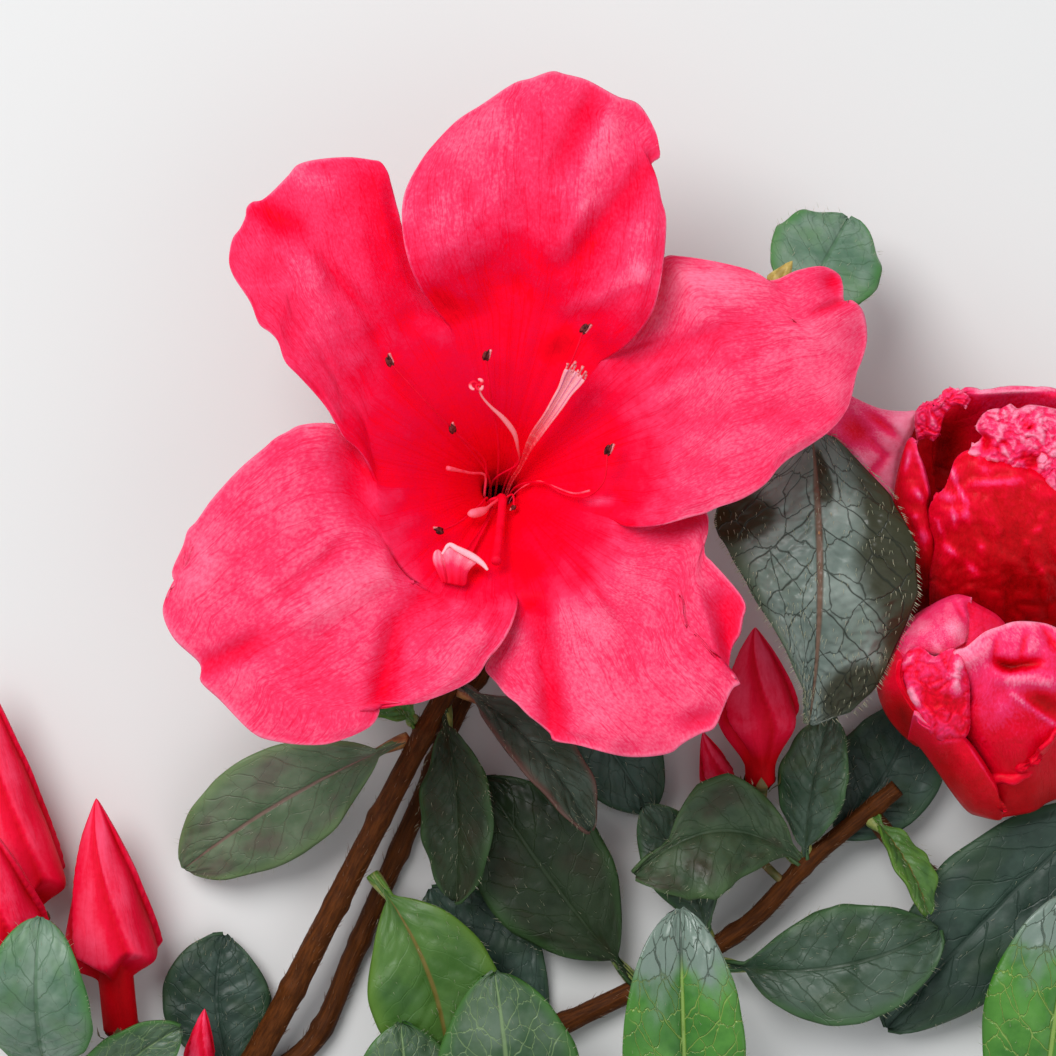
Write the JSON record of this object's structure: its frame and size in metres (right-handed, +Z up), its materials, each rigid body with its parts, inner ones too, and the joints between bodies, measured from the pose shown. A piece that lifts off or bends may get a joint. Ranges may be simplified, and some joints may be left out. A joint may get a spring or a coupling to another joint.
{
  "type": "azalea branch in flower",
  "caption": "Cut branch of a red evergreen azalea, lying flat: a large open bloom, double blooms, closed buds and leathery leaves on thin woody shoots.",
  "frame": {"origin": "middle of the outer box, at the level of the surface that the cut branch lies on", "axes": "+Z up from that surface, the way that the open bloom faces; +Y towards the open bloom's top petal, away from the cut end; +X towards the double blooms"},
  "size_m": [0.14, 0.1484, 0.0348],
  "materials": {
    "bark": "reddish-brown bark, matte",
    "leaf": "dark green leathery leaf with paler veins and fine hairs, semi-gloss",
    "young_leaf": "bright green young leaf, semi-gloss",
    "petal": "coral-red petal, satin",
    "double_petal": "crimson petal, glossy and crinkled",
    "bud": "crimson furled petals, satin",
    "filament": "red thread with a dark tip",
    "pale_petaloid": "pale pink, satin",
    "flower_stalk": "green-brown, matte"
  },
  "bodies": {
    "root": {"main_stem": "bark", "rear_stem": "bark", "right_stem": "bark", "front_shoot": "bark", "left_shoot": "bark", "right_shoot": "bark", "leaf_left": "leaf", "leaf_lower": "young_leaf", "leaf_node": "leaf", "leaf_front_left": "leaf", "leaf_front_middle": "leaf", "leaf_front_right": "young_leaf", "leaf_corner": "young_leaf", "leaf_right_low": "leaf", "leaf_middle": "leaf", "leaf_middle_small": "leaf", "leaf_centre": "leaf", "leaf_centre_low": "leaf", "leaf_under_right": "leaf", "leaf_under_left": "leaf", "leaf_under_deep": "leaf", "leaf_hidden_left": "leaf", "leaf_hidden_top": "leaf", "leaf_up_narrow": "leaf", "leaf_up_broad": "leaf", "leaf_small": "young_leaf", "leaf_right_hanging": "leaf", "leaf_veined": "leaf", "leaf_top_right": "leaf", "leaf_corner_left": "leaf", "leaf_left_low": "leaf", "leaf_stem_left": "leaf", "leaf_shoot_left": "leaf", "leaf_shoot_middle": "leaf", "leaf_shoot_right": "leaf", "bud_middle": "bud", "bud_small": "bud", "bud_left": "bud", "bud_edge_tall": "bud", "bud_edge_low": "bud", "bud_tip": "bud", "bud_rear": "bud", "bloom_stalk": "flower_stalk", "bloom_corolla": "petal", "bloom_stamens": "filament", "striped_petaloid": "pale_petaloid", "curled_petaloid": "pale_petaloid", "pistil": "pale_petaloid", "double_bloom_lower": "double_petal", "double_bloom_upper": "double_petal"}
  },
  "joints": []
}
